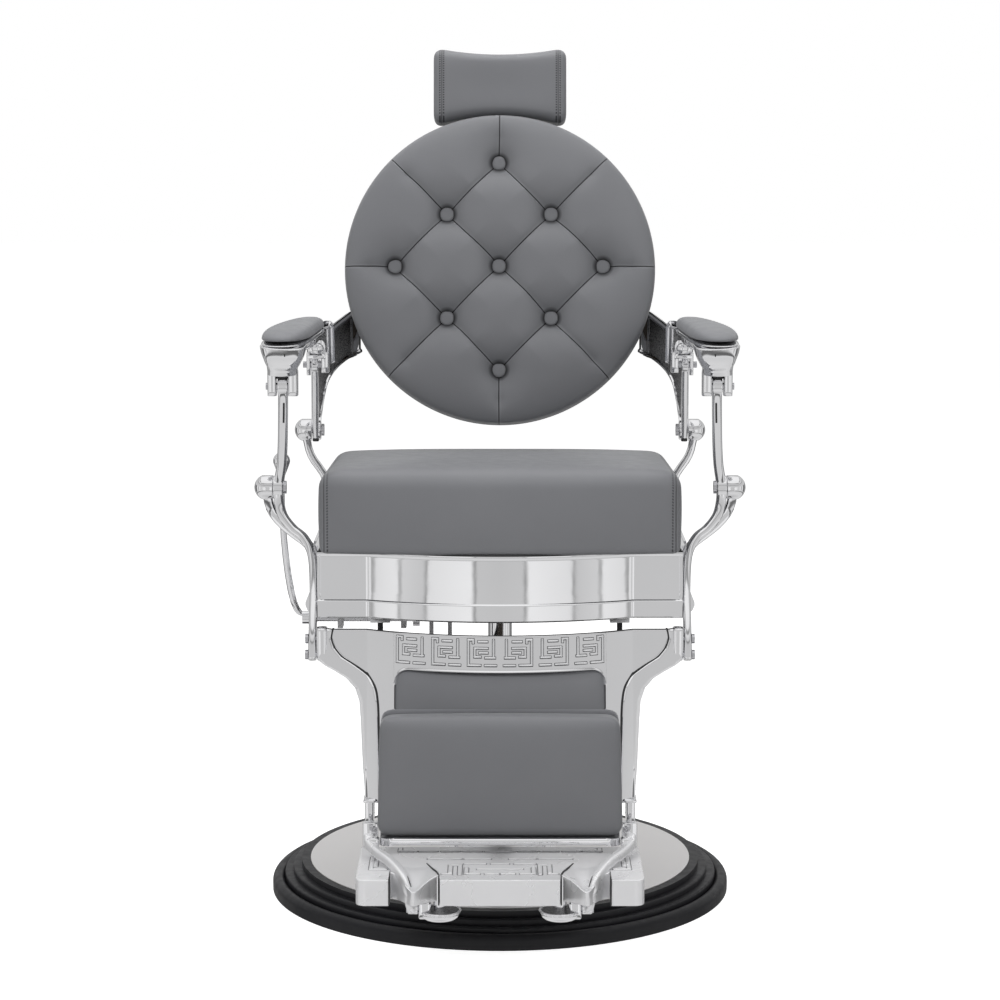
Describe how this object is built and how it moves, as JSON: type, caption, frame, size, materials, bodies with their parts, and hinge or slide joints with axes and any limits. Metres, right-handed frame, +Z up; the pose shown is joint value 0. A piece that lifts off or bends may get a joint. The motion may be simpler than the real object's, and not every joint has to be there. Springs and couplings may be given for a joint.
{
  "type": "hydraulic barber chair",
  "caption": "Barber chair with a round tufted back, linked arm rests and leg rest, fretwork foot rest, hydraulic lift and round base.",
  "frame": {"origin": "on the floor, on the swivel axis", "axes": "+Z up, the chair faces -Y, +X is the sitter's left"},
  "size_m": [0.7146, 0.8701, 1.2773],
  "materials": {
    "chrome": "polished, clear reflections",
    "grey_vinyl": "smooth satin vinyl",
    "black_rubber": "satin black rubber",
    "brushed_disc": "satin, light",
    "cast_base": "painted casting, hidden",
    "dark_paint": "black satin paint",
    "hammered_paint": "dark hammered paint, bright edges",
    "steel": "bright turned steel",
    "plywood": "bare plywood, hidden",
    "black_plastic": "gloss black"
  },
  "bodies": {
    "base": {"base_plate": "cast_base", "base_ring": "black_rubber", "base_disc": "brushed_disc", "column_collar": "chrome", "pump_cylinder": "chrome", "cylinder_cap": "chrome", "pedal_pin": "steel"},
    "pedal": {"pump_pedal": "chrome", "pedal_pad": "black_rubber"},
    "lift": {"ram": "chrome"},
    "seat": {"swivel_socket": "dark_paint", "seat_frame": "dark_paint", "seat_skirt": "chrome", "side_frame_left": "chrome", "side_frame_right": "chrome", "front_pivot_pins": "steel", "rear_pivot_pins": "steel", "stop_bolts": "dark_paint", "seat_board": "plywood", "seat_cushion": "grey_vinyl", "lock_pins": "steel"},
    "handle": {"hand_lever": "chrome", "lever_knob": "chrome", "lever_shaft": "steel"},
    "lock_tube": {"lock_cylinder": "dark_paint"},
    "lock_piston": {"lock_rod": "chrome"},
    "back": {"back_bracket_left": "hammered_paint", "back_bracket_right": "hammered_paint", "back_board": "plywood", "back_cover": "grey_vinyl", "back_cushion": "grey_vinyl", "tuft_buttons": "grey_vinyl", "headrest_socket": "dark_paint", "rear_clevis_pins": "steel"},
    "post_knob": {"headrest_knob": "black_plastic"},
    "headrest_slide": {"headrest_post": "steel", "headrest_hinge": "dark_paint"},
    "headrest": {"headrest_board": "plywood", "headrest_cushion": "grey_vinyl"},
    "armrest_left": {"armrest_body_left": "chrome", "armrest_pad_left": "grey_vinyl"},
    "armrest_right": {"armrest_body_right": "chrome", "armrest_pad_right": "grey_vinyl"},
    "legrest": {"front_lever_left": "chrome", "front_lever_right": "chrome", "lever_bolts": "steel", "legrest_frame": "chrome", "calf_board": "plywood", "calf_pad": "grey_vinyl", "foot_plate": "chrome", "support_cups": "chrome", "swing_pins": "steel", "front_clevis_pins": "steel"},
    "shin_unit": {"swing_arm_left": "chrome", "swing_arm_right": "chrome", "pad_tray": "chrome", "shin_pad": "grey_vinyl"}
  },
  "joints": [
    {"name": "pump_stroke", "type": "hinge", "parent": "base", "child": "pedal", "pos_m": [0, 0.082, 0.096], "axis": [-1, 0, 0], "range_deg": [0, 20], "stiffness_Nm_per_rad": 8, "springref_deg": -22.92},
    {"name": "lift", "type": "slide", "parent": "base", "child": "lift", "axis": [0, 0, 1], "range_m": [0, 0.16]},
    {"name": "swivel", "type": "hinge", "parent": "lift", "child": "seat", "pos_m": [0, 0, 0.48], "axis": [0, 0, 1], "continuous": true},
    {"name": "recline", "type": "hinge", "parent": "seat", "child": "back", "pos_m": [0, 0.125, 0.69], "axis": [-1, 0, 0], "range_deg": [0, 45]},
    {"name": "arm_left", "type": "hinge", "parent": "back", "child": "armrest_left", "pos_m": [0, 0.081, 0.796], "axis": [-1, 0, 0], "range_deg": [-45.36, 0]},
    {"name": "arm_right", "type": "hinge", "parent": "back", "child": "armrest_right", "pos_m": [0, 0.081, 0.796], "axis": [-1, 0, 0], "range_deg": [-45.36, 0]},
    {"name": "leg_swing", "type": "hinge", "parent": "seat", "child": "legrest", "pos_m": [0, -0.165, 0.64], "axis": [-1, 0, 0], "range_deg": [0, 32.4]},
    {"name": "lock_tilt", "type": "hinge", "parent": "seat", "child": "lock_tube", "pos_m": [-0.09, -0.03, 0.36], "axis": [-1, 0, 0], "range_deg": [0, 12.6]},
    {"name": "lock_stroke", "type": "slide", "parent": "lock_tube", "child": "lock_piston", "axis": [0, -0.9985, 0.054], "range_m": [0, 0.146]},
    {"name": "shin_flip", "type": "hinge", "parent": "legrest", "child": "shin_unit", "pos_m": [0, -0.49706, 0.108], "axis": [1, 0, 0], "range_deg": [0, 90]},
    {"name": "handle_pull", "type": "hinge", "parent": "seat", "child": "handle", "pos_m": [0, -0.02, 0.42], "axis": [-1, 0, 0], "range_deg": [0, 18]},
    {"name": "head_height", "type": "slide", "parent": "back", "child": "headrest_slide", "axis": [0, 0.1736, 0.9848], "range_m": [0, 0.1]},
    {"name": "head_tilt", "type": "hinge", "parent": "headrest_slide", "child": "headrest", "pos_m": [0, 0.32111, 1.20528], "axis": [-1, 0, 0], "range_deg": [0, 35]},
    {"name": "post_clamp", "type": "hinge", "parent": "back", "child": "post_knob", "pos_m": [0, 0.29906, 1.08022], "axis": [0, 0.9848, -0.1736], "range_deg": [0, 270]}
  ],
  "couplings": [
    {"joint": "arm_left", "follows": "recline", "ratio": -1.008},
    {"joint": "arm_right", "follows": "recline", "ratio": -1.008},
    {"joint": "leg_swing", "follows": "recline", "ratio": 0.72},
    {"joint": "lock_tilt", "follows": "recline", "ratio": 0.2796},
    {"joint": "lock_stroke", "follows": "recline", "m_per_rad": 0.1857}
  ]
}
